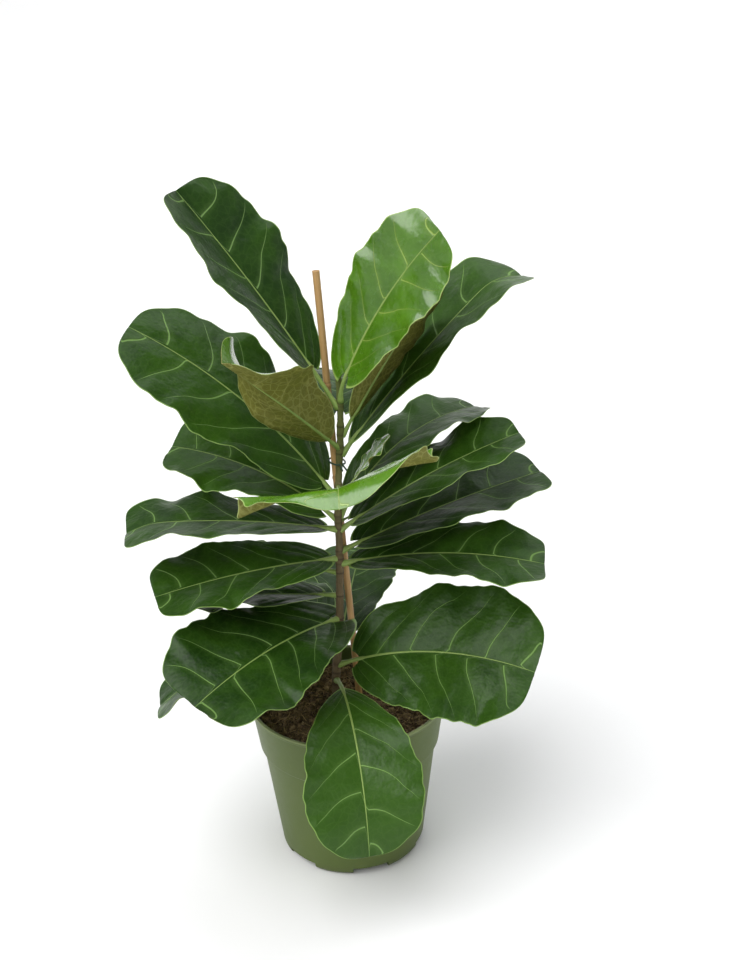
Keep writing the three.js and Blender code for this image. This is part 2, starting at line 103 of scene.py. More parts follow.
LEAVES = {
    "leaf_01": dict(height=194, azimuth=-79, petiole=42, length=178, width=116, rise=25, droop=112,
                    taper=0.8, widest=0.66, waist=0, lobe=8),
    "leaf_02": dict(height=212, azimuth=-18, petiole=22, length=184, width=150, rise=26, droop=40,
                    roll=40, widest=0.62, waist=0.06, lobe=8),
    "leaf_03": dict(height=228, azimuth=82, petiole=28, length=144, width=100, rise=18, droop=10),
    "leaf_04": dict(height=245, azimuth=186, length=176, width=96, rise=2, droop=42),
    "leaf_05": dict(height=258, azimuth=130, petiole=28, length=156, rise=10, droop=30),
    "leaf_06": dict(height=266, azimuth=225, petiole=12, length=170, width=146, rise=8, droop=28,
                    roll=-14, waist=0.06, lobe=30),
    "leaf_07": dict(height=292, azimuth=176, length=152, width=90, rise=2, droop=6),
    "leaf_08": dict(height=318, azimuth=168, length=158, width=96, rise=8, droop=24),
    "leaf_09": dict(height=328, azimuth=-6, petiole=16, length=184, width=96, rise=14, droop=26,
                    roll=14, widest=0.74),
    "leaf_10": dict(height=334, azimuth=198, petiole=14, length=166, width=98, rise=4, droop=14,
                    roll=-16),
    "leaf_11": dict(height=342, azimuth=18, length=200, width=106, rise=19, droop=10, roll=8),
    "leaf_12": dict(height=366, azimuth=186, petiole=18, length=186, width=98, rise=13, droop=15,
                    roll=-5, hook=20, widest=0.74),
    "leaf_13": dict(height=366, azimuth=8, petiole=20, length=178, width=94, rise=34, droop=16,
                    roll=10),
    "leaf_14": dict(height=380, azimuth=34, petiole=24, length=170, width=94, rise=54, droop=56),
    "leaf_15": dict(height=373, azimuth=66, turn=-20, petiole=36, length=80, width=58, rise=6,
                    droop=8, lobe=0),
    "leaf_16": dict(height=378, azimuth=168, petiole=18, length=160, width=104, rise=40, droop=34,
                    roll=-20),
    "leaf_17": dict(height=400, azimuth=8, petiole=22, length=52, width=30, rise=56, droop=10,
                    taper=0.7, waist=0, lobe=0),
    "leaf_18": dict(height=412, azimuth=-88, petiole=22, length=130, width=190, rise=17, droop=-8,
                    hook=70, taper=0.6, widest=0.5, waist=0, lobe=6, fold_left=20, fold_right=-8),
    "leaf_19": dict(height=402, azimuth=174, petiole=18, length=238, width=140, rise=56, droop=28,
                    roll=-20, fold_left=-6, widest=0.6, taper=0.5, lobe=4),
    "leaf_20": dict(height=446, azimuth=22, petiole=22, length=232, width=104, rise=49, droop=12,
                    hook=40, fold_left=16, fold_right=6, widest=0.72, taper=0.6),
    "leaf_21": dict(height=454, azimuth=218, petiole=12, length=144, width=98, rise=43, droop=4,
                    roll=66, twist=-76, fold_left=16, fold_right=34, lobe=0, taper=0.5),
    "leaf_22": dict(height=466, azimuth=14, petiole=20, length=146, width=78, rise=60, droop=10,
                    roll=-50, lobe=4, taper=0.6),
    "leaf_23": dict(height=474, azimuth=92, petiole=26, length=110, width=84, rise=24, droop=30),
    "leaf_24": dict(height=494, azimuth=170, petiole=46, length=200, width=122, rise=59, droop=8,
                    roll=-36, fold_left=34, fold_right=0, lobe=8, taper=0.5),
    "leaf_25": dict(height=502, azimuth=-16, turn=-62, petiole=30, length=158, width=98, rise=70,
                    droop=24, roll=66, lobe=14, fold_left=4, fold_right=12, waist=0.08),
}

SLOT_OF = {piece["node"]: piece["material_slot"] for piece in frame["record"]["subparts"]}


# ---------------------------------------------------------------- small helpers

def smoothstep(low, high, value):
    t = np.clip((value - low) / (high - low), 0, 1)
    return t * t * (3 - 2 * t)


def lerp(a, b, t):
    return a + (b - a) * t


def unit(vectors):
    return vectors / np.maximum(np.linalg.norm(vectors, axis=-1, keepdims=True), 1e-9)


def mesh_object(name, points, faces, materials, face_materials=None, attributes=None, smooth=True):
    """A mesh from points in millimetres, with its materials and per-point attributes."""
    mesh = bpy.data.meshes.new(name)
    mesh.from_pydata((np.asarray(points, float) * MM).tolist(), [], faces)
    for surface in materials:
        mesh.materials.append(surface)
    if face_materials is not None:
        mesh.polygons.foreach_set("material_index", face_materials)
    mesh.polygons.foreach_set("use_smooth", [smooth] * len(mesh.polygons))
    for key, values in (attributes or {}).items():
        values = np.asarray(values, np.float32)
        kind = "FLOAT_VECTOR" if values.ndim == 2 else "FLOAT"
        layer = mesh.attributes.new(key, kind, "POINT")
        layer.data.foreach_set("vector" if kind == "FLOAT_VECTOR" else "value", values.ravel())
    mesh.update()
    piece = bpy.data.objects.new(name, mesh)
    bpy.context.scene.collection.objects.link(piece)
    return piece


def stands_for(piece, node):
    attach(piece, "root")
    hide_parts(node)


def grid_faces(rows, columns, start=0, close_columns=False, flip=False):
    faces = []
    for i in range(rows - 1):
        for j in range(columns if close_columns else columns - 1):
            k = (j + 1) % columns
            a, b = start + i * columns + j, start + i * columns + k
            c, d = start + (i + 1) * columns + k, start + (i + 1) * columns + j
            faces.append((a, d, c, b) if flip else (a, b, c, d))
    return faces


def circle(radius, height, segments):
    """Points around the Z axis, all at one height."""
    turn = np.arange(segments) * 2 * math.pi / segments
    return np.stack([radius * np.cos(turn), radius * np.sin(turn), np.full(segments, height)], -1)


def tube(centres, radii, sides, reference=(0.0, 1.0, 0.0)):
    """Rings around a route, and the faces of the closed body through them."""
    centres = np.asarray(centres, float)
    ahead = unit(np.gradient(centres, axis=0))
    across = unit(np.cross(np.asarray(reference), ahead))
    up = np.cross(ahead, across)
    turn = np.arange(sides) * 2 * math.pi / sides
    radii = np.broadcast_to(np.asarray(radii, float), (len(centres),))
    cosine, sine = np.cos(turn)[None, :, None], np.sin(turn)[None, :, None]
    ring = across[:, None] * cosine + up[:, None] * sine
    points = (centres[:, None] + ring * radii[:, None, None]).reshape(-1, 3)
    faces = grid_faces(len(centres), sides, close_columns=True)
    last = (len(centres) - 1) * sides
    faces.append(tuple(range(sides))[::-1])
    faces.append(tuple(last + i for i in range(sides)))
    return points, faces


def catmull_rom(points, count):
    """Evenly spaced points of a smooth curve through the given ones."""
    points = np.asarray(points, float)
    padded = np.vstack([2 * points[0] - points[1], points, 2 * points[-1] - points[-2]])
    samples = []
    for i in range(len(points) - 1):
        p0, p1, p2, p3 = padded[i:i + 4]
        for t in np.linspace(0, 1, 24, endpoint=False):
            samples.append(0.5 * (2 * p1 + (p2 - p0) * t + (2 * p0 - 5 * p1 + 4 * p2 - p3) * t ** 2
                                  + (3 * p1 - p0 - 3 * p2 + p3) * t ** 3))
    samples = np.array(samples + [points[-1]])
    along = np.concatenate([[0], np.cumsum(np.linalg.norm(np.diff(samples, axis=0), axis=1))])
    wanted = np.linspace(0, along[-1], count)
    return np.stack([np.interp(wanted, along, samples[:, k]) for k in range(3)], -1)


# ---------------------------------------------------------------- material graphs

class Surface:
    """A node material: the Principled shader, and short calls that add nodes to it."""

    def __init__(self, name, **constants):
        self.material = bpy.data.materials.new(name)
        self.material.use_nodes = True
        self.tree = self.material.node_tree
        self.shader = self.tree.nodes["Principled BSDF"]
        for socket, value in constants.items():
            self.shader.inputs[socket.replace("_", " ")].default_value = value

    def _feed(self, socket, value):
        if isinstance(value, bpy.types.NodeSocket):
            self.tree.links.new(value, socket)
        else:
            socket.default_value = value

    def node(self, kind, **settings):
        made = self.tree.nodes.new(kind)
        for key, value in settings.items():
            setattr(made, key, value)
        return made

    def attribute(self, name):
        return self.node("ShaderNodeAttribute", attribute_name=name)

    def position(self):
        return self.node("ShaderNodeTexCoord").outputs["Object"]

    def split(self, vector):
        made = self.node("ShaderNodeSeparateXYZ")
        self._feed(made.inputs[0], vector)
        return made.outputs

    def join(self, x, y, z=0.0):
        made = self.node("ShaderNodeCombineXYZ")
        for socket, value in zip(made.inputs, (x, y, z)):
            self._feed(socket, value)
        return made.outputs[0]

    def math(self, operation, a, b=None):
        made = self.node("ShaderNodeMath", operation=operation)
        self._feed(made.inputs[0], a)
        if b is not None:
            self._feed(made.inputs[1], b)
        return made.outputs[0]

    def step(self, value, low, high, out_low=0.0, out_high=1.0):
        made = self.node("ShaderNodeMapRange", interpolation_type="SMOOTHSTEP")
        for socket, number in zip(("Value", "From Min", "From Max", "To Min", "To Max"),
                                  (value, low, high, out_low, out_high)):
            self._feed(made.inputs[socket], number)
        return made.outputs[0]

    def mix(self, factor, a, b):
        made = self.node("ShaderNodeMix", data_type="RGBA")
        self._feed(made.inputs["Factor"], factor)
        self._feed(made.inputs[6], a)
        self._feed(made.inputs[7], b)
        return made.outputs[2]

    def noise(self, vector, scale, detail=4.0, roughness=0.55):
        made = self.node("ShaderNodeTexNoise")
        self._feed(made.inputs["Vector"], vector)
        made.inputs["Scale"].default_value = scale
        made.inputs["Detail"].default_value = detail
        made.inputs["Roughness"].default_value = roughness
        return made.outputs["Fac"]

    def cells(self, vector, scale):
        made = self.node("ShaderNodeTexVoronoi", feature="DISTANCE_TO_EDGE")
        self._feed(made.inputs["Vector"], vector)
        made.inputs["Scale"].default_value = scale
        return made.outputs["Distance"]

    def bump(self, height, distance, strength):
        made = self.node("ShaderNodeBump")
        made.inputs["Strength"].default_value = strength
        made.inputs["Distance"].default_value = distance
        self._feed(made.inputs["Height"], height)
        return made.outputs[0]

    def finish(self, colour, roughness, normal):
        self._feed(self.shader.inputs["Base Color"], colour)
        self._feed(self.shader.inputs["Roughness"], roughness)
        self._feed(self.shader.inputs["Normal"], normal)
        return self.material


TINT_SHIFT = 900.0                # moves each leaf to its own part of the noise, in mm
NET_SCALE = 0.13                  # cells per mm of the net of veins, and of the finer one
FINE_NET_SCALE = 0.5
FINE_NET_SHARE = 0.4
SIDE_VEIN_WIDTH = 0.029           # in vein phase, at the midrib
SIDE_VEIN_TAPER = 0.016
MIDRIB_LINE_WIDTH = 1.7           # in mm, at the blade's base
MIDRIB_LINE_TAPER = 1.2
VEIN_STRENGTH = 0.62
HALO_STRENGTH = 0.10
EDGE_STRENGTH = 0.8
SPECK_STRENGTH = 0.12

VEIN_PAIRS = 4.7
VEIN_ALTERNATION = 0.42           # how far the right side's veins are offset from the left's


def vein_phase(s, v, phases):
    """Half-whole numbers lie on the side veins, which arch towards the blade's tip."""
    y = np.abs(v)
    climb = (0.10 * y + 0.42 * y ** 2) * (1.15 - s)
    drift = 0.07 * np.sin(2 * math.pi * 1.7 * s + phases[4] + 2 * np.sign(v))
    drift = drift + 0.035 * np.sin(2 * math.pi * (1.1 * y + 1.3 * s) + phases[5])
    return (s - climb) * VEIN_PAIRS + drift + np.where(v < 0, VEIN_ALTERNATION, 0.0)


def leaf_surface(name, deep, light, vein, edge, relief, net_share, **constants):
    """One face of a blade. Attribute "blade" is (vein phase, |v|, s), and "flat" is
    (mm along, mm across, mm to the margin). "relief" is -1 on the under face, where
    the veins stand up, and "net_share" is how strongly the fine net of veins shows."""
    g = Surface(name, **constants)
    phase, y, s = g.split(g.attribute("blade").outputs["Vector"])[:3]
    along, across, margin = g.split(g.attribute("flat").outputs["Vector"])[:3]
    tint = g.attribute("tint").outputs["Fac"]
    place = g.join(g.math("ADD", along, g.math("MULTIPLY", tint, TINT_SHIFT)), across, 0.0)
    off = g.math("ABSOLUTE", g.math("SUBTRACT", g.math("FRACT", phase), 0.5))
    width = g.math("SUBTRACT", SIDE_VEIN_WIDTH, g.math("MULTIPLY", y, SIDE_VEIN_TAPER))
    side = g.math("SUBTRACT", 1.0, g.step(off, g.math("MULTIPLY", width, 0.3), width))
    side = g.math("MULTIPLY", side, g.step(y, 0.97, 0.72))
    rib_width = g.math("SUBTRACT", MIDRIB_LINE_WIDTH, g.math("MULTIPLY", s, MIDRIB_LINE_TAPER))
    across = g.math("ABSOLUTE", across)
    rib = g.math("SUBTRACT", 1.0, g.step(across, g.math("MULTIPLY", rib_width, 0.5), rib_width))
    veins = g.math("MAXIMUM", side, rib)
    net = g.step(g.cells(place, NET_SCALE), 0.10, 0.02)
    fine_net = g.step(g.cells(place, FINE_NET_SCALE), 0.10, 0.02)
    broad = g.noise(place, 0.028, 3.0)
    patch = g.math("ADD", g.math("MULTIPLY", broad, 0.7), g.math("MULTIPLY", tint, 0.5))
    body = g.mix(g.step(patch, 0.25, 0.8), deep, light)
    halo = g.math("MULTIPLY", g.step(off, 0.16, 0.0), g.step(y, 0.9, 0.2))
    body = g.mix(g.math("MULTIPLY", halo, HALO_STRENGTH), body, vein)
    body = g.mix(g.math("MULTIPLY", net, net_share), body, vein)
    body = g.mix(g.math("MULTIPLY", fine_net, net_share * FINE_NET_SHARE), body, vein)
    body = g.mix(g.math("MULTIPLY", veins, VEIN_STRENGTH), body, vein)
    body = g.mix(g.math("MULTIPLY", g.step(margin, 1.2, 0.4), EDGE_STRENGTH), body, edge)
    speck = g.step(g.noise(place, 0.9, 2.0), 0.72, 0.78)
    body = g.mix(g.math("MULTIPLY", speck, SPECK_STRENGTH), body, vein)
    height = g.math("SUBTRACT", g.math("MULTIPLY", g.noise(place, 0.09, 2.0), 1.6),
                    g.math("MULTIPLY", veins, 0.6))
    height = g.math("MULTIPLY", height, relief)
    base_roughness = g.shader.inputs["Roughness"].default_value
    rough = g.math("MULTIPLY", g.noise(place, 0.12, 4.0), 0.16)
    rough = g.math("ADD", rough, base_roughness - 0.08)
    return g.finish(body, rough, g.bump(height, 0.0009, 0.9))


def stalk_surface(name, colour, pale):
    g = Surface(name, Specular_IOR_Level=0.4)
    place = g.position()
    body = g.mix(g.noise(place, 160.0, 4.0), colour, pale)
    rough = g.math("ADD", g.math("MULTIPLY", g.noise(place, 300.0), 0.2), 0.38)
    return g.finish(body, rough, g.bump(g.noise(place, 900.0, 3.0), 0.0004, 0.5))


def pot_surface():
    g = Surface("pot_plastic", Specular_IOR_Level=0.3)
    place = g.position()
    x, y, z = g.split(place)[:3]
    cloud = g.noise(place, 9.0, 5.0)
    dust = g.noise(place, 70.0, 6.0, 0.7)
    body = g.mix(cloud, (0.064, 0.096, 0.018, 1), (0.094, 0.132, 0.030, 1))
    dusty = g.math("MULTIPLY", g.step(dust, 0.56, 0.75), 0.15)
    body = g.mix(dusty, body, (0.18, 0.21, 0.10, 1))
    # Darker and greyer towards the bottom: mixed towards a dark grey-olive below 4 mm, fading out
    # by 22 mm, with a ragged edge.
    foot = g.step(g.math("ADD", z, g.math("MULTIPLY", dust, 0.012)), 0.022, 0.004)
    body = g.mix(g.math("MULTIPLY", foot, 0.35), body, (0.06, 0.06, 0.028, 1))
    # Painted highlight: the top of the rim, from 172.5 mm up, is mixed towards a pale green.
    lip = g.step(z, 0.1725, 0.1755)
    body = g.mix(g.math("MULTIPLY", lip, 0.4), body, (0.36, 0.42, 0.20, 1))
    streak = g.noise(g.join(x, y, g.math("MULTIPLY", z, 0.06)), 220.0, 3.0)
    grain = g.math("MULTIPLY", g.noise(place, 1500.0, 2.0), 0.5)
    height = g.math("ADD", grain, g.math("MULTIPLY", streak, 0.3))
    rough = g.math("ADD", g.math("MULTIPLY", dust, 0.22), 0.38)
    return g.finish(body, rough, g.bump(height, 0.0002, 0.5))


def soil_surface():
    g = Surface("potting_soil", Specular_IOR_Level=0.25)
    place = g.position()
    shade = g.attribute("shade").outputs["Fac"]
    clod = g.noise(place, 260.0, 6.0, 0.7)
    body = g.mix(g.step(clod, 0.3, 0.7), (0.026, 0.017, 0.008, 1), (0.200, 0.135, 0.072, 1))
    body = g.mix(shade, body, (0.55, 0.40, 0.22, 1))
    return g.finish(body, g.step(clod, 0.3, 0.7, 0.8, 1.0), g.bump(clod, 0.0016, 1.0))


def bark_surface():
    g = Surface("stem_bark", Specular_IOR_Level=0.3)
    place = g.position()
    x, y, z = g.split(place)[:3]
    squeezed = g.join(x, y, g.math("MULTIPLY", z, 0.2))
    grain = g.noise(squeezed, 700.0, 5.0, 0.65)
    scar = g.attribute("scar").outputs["Fac"]
    old = g.mix(grain, (0.062, 0.042, 0.020, 1), (0.20, 0.150, 0.075, 1))
    fresh = g.mix(grain, (0.075, 0.090, 0.020, 1), (0.16, 0.185, 0.055, 1))
    body = g.mix(g.step(z, 0.30, 0.52), old, fresh)
    body = g.mix(g.math("MULTIPLY", scar, 0.75), body, (0.036, 0.024, 0.012, 1))
    cracks = g.math("MULTIPLY", g.cells(place, 420.0), 0.6)
    height = g.math("ADD", g.math("MULTIPLY", grain, 0.8), cracks)
    return g.finish(body, g.step(grain, 0.2, 0.8, 0.62, 0.85), g.bump(height, 0.0007, 0.9))


def bamboo_surface():
    g = Surface("bamboo", Specular_IOR_Level=0.4)
    place = g.position()
    x, y, z = g.split(place)[:3]
    fibres = g.noise(g.join(x, y, g.math("MULTIPLY", z, 0.03)), 1400.0, 4.0, 0.6)
    blotch = g.noise(place, 24.0, 4.0)
    joint = g.attribute("scar").outputs["Fac"]
    body = g.mix(fibres, (0.36, 0.205, 0.074, 1), (0.62, 0.385, 0.165, 1))
    stained = g.math("MULTIPLY", g.step(blotch, 0.52, 0.72), 0.4)
    body = g.mix(stained, body, (0.25, 0.135, 0.048, 1))
    body = g.mix(g.math("MULTIPLY", joint, 0.7), body, (0.17, 0.092, 0.036, 1))
    return g.finish(body, g.step(fibres, 0.2, 0.8, 0.36, 0.6), g.bump(fibres, 0.0004, 0.7))


def tie_surface():
    g = Surface("tie_wire", Specular_IOR_Level=0.5)
    place = g.position()
    wear = g.noise(place, 500.0, 4.0)
    body = g.mix(wear, (0.012, 0.038, 0.020, 1), (0.035, 0.075, 0.042, 1))
    return g.finish(body, g.step(wear, 0.3, 0.8, 0.35, 0.6), g.bump(wear, 0.0002, 0.5))


def floor_surface():
    g = Surface("floor_paper", Specular_IOR_Level=0.2)
    place = g.position()
    tone = g.noise(place, 3.0, 3.0)
    body = g.mix(tone, (0.86, 0.86, 0.86, 1), (0.89, 0.89, 0.89, 1))
    return g.finish(body, 0.7, g.bump(g.noise(place, 400.0), 0.0002, 0.1))


MATURE_TOP = leaf_surface(
    "leaf_mature_upper", deep=(0.0060, 0.026, 0.0018, 1), light=(0.028, 0.080, 0.0048, 1),
    vein=(0.21, 0.37, 0.095, 1), edge=(0.26, 0.42, 0.10, 1), relief=1.0, net_share=0.03,
    Roughness=0.36, Specular_IOR_Level=0.22)
MATURE_UNDER = leaf_surface(
    "leaf_mature_under", deep=(0.060, 0.080, 0.014, 1), light=(0.110, 0.140, 0.028, 1),
    vein=(0.30, 0.34, 0.11, 1), edge=(0.26, 0.36, 0.12, 1), relief=-1.0, net_share=0.25,
    Roughness=0.6, Specular_IOR_Level=0.2)
YOUNG_TOP = leaf_surface(
    "leaf_young_upper", deep=(0.034, 0.105, 0.002, 1), light=(0.078, 0.205, 0.004, 1),
    vein=(0.36, 0.50, 0.10, 1), edge=(0.40, 0.55, 0.14, 1), relief=1.0, net_share=0.03,
    Roughness=0.26, Specular_IOR_Level=0.55, Coat_Weight=0.5, Coat_Roughness=0.14)
YOUNG_UNDER = leaf_surface(
    "leaf_young_under", deep=(0.066, 0.064, 0.008, 1), light=(0.140, 0.140, 0.022, 1),
    vein=(0.34, 0.34, 0.10, 1), edge=(0.34, 0.42, 0.14, 1), relief=-1.0, net_share=0.35,
    Roughness=0.55, Specular_IOR_Level=0.25)
STALK = stalk_surface("leaf_stalk", (0.16, 0.26, 0.050, 1), (0.30, 0.40, 0.11, 1))


# ---------------------------------------------------------------- stem and stake routes

STEM_POINTS = catmull_rom(STEM_ROUTE, 240)


def stem_centre(height):
    return np.array([np.interp(height, STEM_POINTS[:, 2], STEM_POINTS[:, k]) for k in range(3)])


def stem_radius(height):
    share = (height - STEM_ROUTE[0][2]) / (STEM_ROUTE[-1][2] - STEM_ROUTE[0][2])
    return lerp(STEM_BASE_RADIUS, STEM_TOP_RADIUS, share)


def stake_centre(height):
    share = (height - STAKE_FOOT[2]) / (STAKE_TOP[2] - STAKE_FOOT[2])
    return lerp(np.array(STAKE_FOOT, float), np.array(STAKE_TOP, float), share)


# ---------------------------------------------------------------- leaves

BLADE_ROWS = 132
BLADE_COLUMNS = 53
BLADE_THICKNESS = 0.9
MARGIN_THICKNESS = 0.4
MARGIN_WIDTH = 4.0                # the blade thins over this distance from its margin
QUILT_HEIGHT = 0.7                # how far the blade swells between its side veins
TIP_POINT = 5.0                   # length of the point at a blade's tip
TIP_START = 0.93
BLADE_START = 0.003               # the first and last rows stop short of the outline's ends
BLADE_END = 0.9992
HOOK_START = 0.8                  # share of the midrib where a hooked tip turns down
TWIST_START = 0.4
WAIST_PLACE = 0.3
WAIST_SPREAD = 0.17
LOBE_SHARE = 0.1
# Sums of sines along the blade, as (height, waves, which phase, shift per side).
OUTLINE_WAVES = ((0.026, 3.3, 0, 1), (0.016, 7.1, 1, -2), (0.007, 15.0, 2, 1))
RIPPLE_WAVES = ((2.0, 3.4, 2, 2), (1.0, 7.3, 3, -1))
SWAY_HEIGHT = 1.8
EDGE_WAVE_HEIGHT = 2.5
EDGE_WAVES = 2.5
TYPICAL_HALF_WIDTH = 50.0         # ripples are sized for a blade of this half width
PETIOLE_FOOT_RADIUS = 3.5
PETIOLE_RADIUS = 2.1
MIDRIB_TIP_RADIUS = 0.35
MIDRIB_RINGS = 64
MIDRIB_SIDES = 12


class Midrib:
    """Where the midrib runs, and which way the blade faces there."""

    STEPS = 60

    def __init__(self, leaf):
        self.leaf = leaf
        self.total = leaf["petiole"] + leaf["length"]
        azimuth = math.radians(leaf["azimuth"] + leaf["turn"])
        outward = np.array([math.cos(azimuth), math.sin(azimuth), 0])
        start = stem_centre(leaf["height"]) + outward * (stem_radius(leaf["height"]) + LEAF_GAP)
        middles = (np.arange(self.STEPS) + 0.5) / self.STEPS
        legs = self._heading(*self._angles(middles)) * self.total / self.STEPS
        self.track = np.vstack([start, start + np.cumsum(legs, axis=0)])

    def _angles(self, t):
        leaf = self.leaf
        foot = 1 - smoothstep(0, leaf["petiole"] / self.total, t)
        drop = leaf["droop"] * t + leaf["hook"] * smoothstep(HOOK_START, 1, t)
        return np.radians(leaf["azimuth"] + leaf["turn"] * foot), np.radians(leaf["rise"] - drop)

    @staticmethod
    def _heading(azimuth, elevation):
        return np.stack([np.cos(elevation) * np.cos(azimuth), np.cos(elevation) * np.sin(azimuth),
                         np.sin(elevation)], -1)

    def at(self, distance):
        """(point, ahead, left, normal) at distances from the stem."""
        leaf = self.leaf
        t = np.clip(distance / self.total, 0, 1)
        azimuth, elevation = self._angles(t)
        ahead = self._heading(azimuth, elevation)
        knots = np.arange(self.STEPS + 1) / self.STEPS
        point = np.stack([np.interp(t, knots, self.track[:, k]) for k in range(3)], -1)
        point = point + ahead * (distance - t * self.total)[..., None]
        up = np.stack([-np.sin(elevation) * np.cos(azimuth), -np.sin(elevation) * np.sin(azimuth),
                       np.cos(elevation)], -1)
        left = np.cross(up, ahead)
        roll = np.radians(leaf["roll"] + leaf["twist"] * smoothstep(TWIST_START, 1, t))
        roll = (roll * smoothstep(0, leaf["petiole"] / self.total, t))[..., None]
        cosine, sine = np.cos(roll), np.sin(roll)
        return point, ahead, left * cosine + up * sine, up * cosine - left * sine


def blade_profile(leaf, s):
    p = leaf["taper"]
    q = p * (1 - leaf["widest"]) / leaf["widest"]
    peak = leaf["widest"] ** p * (1 - leaf["widest"]) ** q
    waist = 1 - leaf["waist"] * np.exp(-((s - WAIST_PLACE) / WAIST_SPREAD) ** 2)
    return waist * s ** p * (1 - s) ** q / peak


def sum_of_waves(rows, s, side, phases):
    return sum(height * np.sin(2 * math.pi * waves * s + phases[which] + shift * side)
               for height, waves, which, shift in rows)


def blade_points(leaf, midrib, s, v, random):
    """The blade's upper face: points, face normals, distances to the margin and from
    the midrib, and vein phases, with lengths in millimetres."""
    half = leaf["width"] / 2
    scale = half / TYPICAL_HALF_WIDTH
    phases = random.uniform(0, 2 * math.pi, 8)
    side = np.sign(v)
    ends = 4 * s * (1 - s)
    outline = 1 + ends * sum_of_waves(OUTLINE_WAVES, s, side, phases)
    profile = blade_profile(leaf, s) * outline
    reach = np.abs(v) * half * profile
    share = reach / half
    back = leaf["lobe"] * v * v * np.exp(-s / LOBE_SHARE)
    point, ahead, left, normal = midrib.at(
        leaf["petiole"] + leaf["length"] * s + TIP_POINT * smoothstep(TIP_START, 1, s))
    point = point - ahead * back[..., None]
    fold = np.radians(np.where(v > 0, leaf["fold_left"], leaf["fold_right"]))
    rise = np.sin(fold) * reach
    wave = EDGE_WAVE_HEIGHT * share ** 2 * np.sin(2 * math.pi * EDGE_WAVES * s + side)
    rise = rise + wave
    rise = rise + sum_of_waves(RIPPLE_WAVES, s, side, phases) * share ** 2.5 * scale
    sway = (np.sin(2 * math.pi * (1.3 * s + 0.35 * v) + phases[6])
            + np.sin(2 * math.pi * (2.1 * s - 0.6 * v) + phases[7]))
    rise = rise + SWAY_HEIGHT * share * sway * scale
    phase = vein_phase(s, v, phases)
    swell = 0.5 + 0.5 * np.cos(2 * math.pi * phase)
    inner = smoothstep(0.02, 0.3, np.abs(v)) * (1 - np.abs(v) ** 4)
    quilt = QUILT_HEIGHT * scale * swell ** 0.7 * inner * np.sqrt(np.clip(profile, 0, 1))
    rise = rise + quilt
    top = point + left * (side * np.cos(fold) * reach)[..., None] + normal * rise[..., None]
    return top, normal, (1 - np.abs(v)) * half * profile, side * reach, phase


def build_leaf(name, shape, random):
    leaf = {**LEAF_DEFAULTS, **shape}
    midrib = Midrib(leaf)
    t = np.linspace(0, 1, BLADE_ROWS)
    s_line = lerp(BLADE_START, BLADE_END, 0.35 * t + 0.65 * (1 - np.cos(math.pi * t)) / 2)
    u = np.linspace(-1, 1, BLADE_COLUMNS)
    v_line = 0.6 * u + 0.4 * np.sin(u * math.pi / 2)
    s, v = np.meshgrid(s_line, v_line, indexing="ij")
    top, face_normal, margin, offset, phase = blade_points(leaf, midrib, s, v, random)
    along = np.gradient(top, axis=0)
    across = np.gradient(top, axis=1)
    normal = np.cross(along, across)
    size = np.linalg.norm(normal, axis=-1, keepdims=True)
    normal = np.where(size > 1e-6, normal / np.maximum(size, 1e-9), face_normal)
    normal = normal * np.sign((normal * face_normal).sum(-1, keepdims=True) + 1e-9)
    thickness = lerp(MARGIN_THICKNESS, BLADE_THICKNESS, np.clip(margin / MARGIN_WIDTH, 0, 1))
    under = top - normal * thickness[..., None]

    rows, columns = s.shape
    count = rows * columns
    # Columns run from the right margin to the left, so the upper face is wound the other way.
    faces = grid_faces(rows, columns, flip=True)
    upper = len(faces)
    faces += grid_faces(rows, columns, start=count)
    ids = np.arange(count).reshape(rows, columns)
    rim = np.concatenate([ids[0, :-1], ids[:-1, -1], ids[-1, :0:-1], ids[:0:-1, 0]])
    for a, b in zip(rim, np.roll(rim, -1)):
        faces.append((int(a), int(b), int(b) + count, int(a) + count))
    lower = len(faces) - upper

    reach = np.linspace(-3.0, midrib.total - 1.5, MIDRIB_RINGS)
    point, ahead, left, up = midrib.at(reach)
    on_blade = np.clip((reach - leaf["petiole"]) / leaf["length"], 0, 1)
    scale = np.clip(leaf["length"] / 170, 0.45, 1.1)
    radius = scale * np.where(reach < leaf["petiole"],
                              lerp(PETIOLE_FOOT_RADIUS, PETIOLE_RADIUS, smoothstep(-3, 12, reach)),
                              lerp(PETIOLE_RADIUS, MIDRIB_TIP_RADIUS, on_blade ** 0.75))
    sink = smoothstep(0, 0.05, on_blade) * (radius * 0.72)
    turn = np.arange(MIDRIB_SIDES) * 2 * math.pi / MIDRIB_SIDES
    ring = left[:, None] * np.cos(turn)[None, :, None] + up[:, None] * np.sin(turn)[None, :, None]
    stalk = (point - up * sink[:, None])[:, None] + ring * radius[:, None, None]
    stalk = stalk.reshape(-1, 3)
    start = 2 * count
    stalk_faces = grid_faces(MIDRIB_RINGS, MIDRIB_SIDES, start, close_columns=True, flip=True)
    last = start + (MIDRIB_RINGS - 1) * MIDRIB_SIDES
    stalk_faces.append(tuple(start + i for i in range(MIDRIB_SIDES)))
    stalk_faces.append(tuple(last + i for i in range(MIDRIB_SIDES))[::-1])

    points = np.vstack([top.reshape(-1, 3), under.reshape(-1, 3), stalk])
    blade = np.stack([phase, np.abs(v), s], -1).reshape(-1, 3)
    flat = np.stack([s * leaf["length"], offset, margin], -1).reshape(-1, 3)
    filler = np.zeros((len(stalk), 3))
    tint = np.full(len(points), random.uniform(0.2, 0.8))
    young = SLOT_OF[name] == "leaf_young"
    surfaces = [YOUNG_TOP, YOUNG_UNDER, STALK] if young else [MATURE_TOP, MATURE_UNDER, STALK]
    piece = mesh_object(
        "fig_" + name, points, faces + stalk_faces, surfaces,
        [0] * upper + [1] * lower + [2] * len(stalk_faces),
        {"blade": np.vstack([blade, blade, filler]), "flat": np.vstack([flat, flat, filler]),
         "tint": tint})
    stands_for(piece, name)


